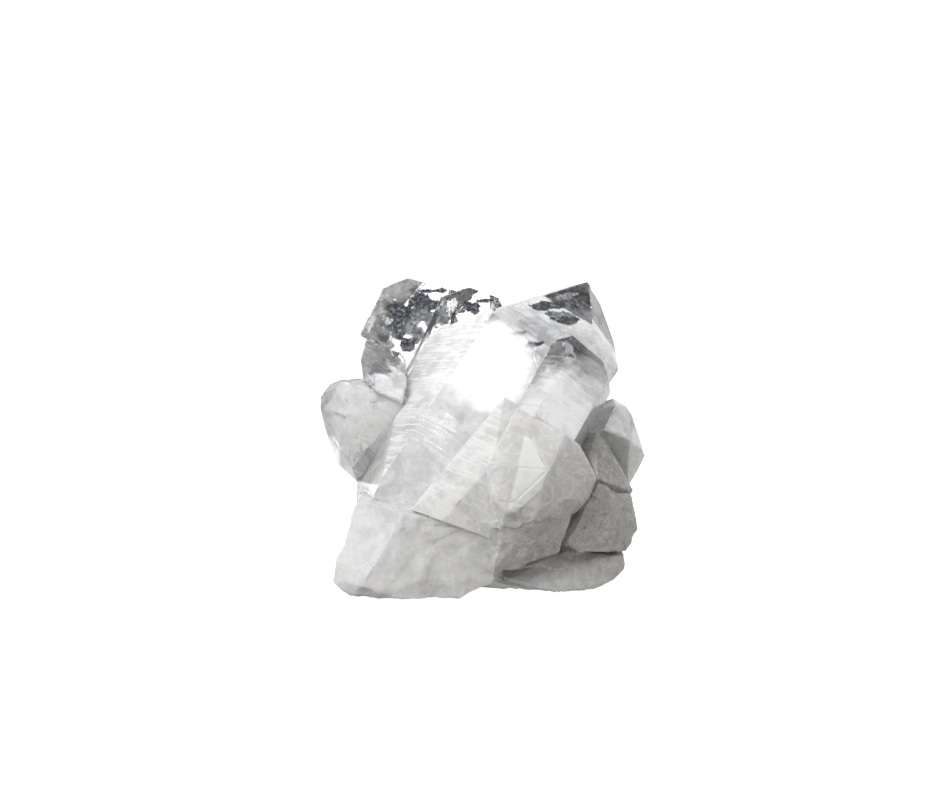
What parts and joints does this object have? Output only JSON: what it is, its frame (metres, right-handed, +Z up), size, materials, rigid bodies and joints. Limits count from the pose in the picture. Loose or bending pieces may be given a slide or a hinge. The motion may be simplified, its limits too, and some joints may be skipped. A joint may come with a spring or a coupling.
{
  "type": "quartz crystal cluster",
  "caption": "Natural cluster of clear to milky six-sided quartz crystals on a broken root, for display on a shelf or table.",
  "frame": {"origin": "middle of the bounding box's underside, on the level broken base", "axes": "+Z up, front towards -Y, +X to the right; the longest side is along X"},
  "size_m": [0.0912, 0.0846, 0.0825],
  "materials": {
    "quartz": "clear tips with polished flat faces, milky towards the root, matt shell-like fracture on the broken parts"
  },
  "bodies": {
    "root": {"quartz_cluster": "quartz"}
  },
  "joints": []
}
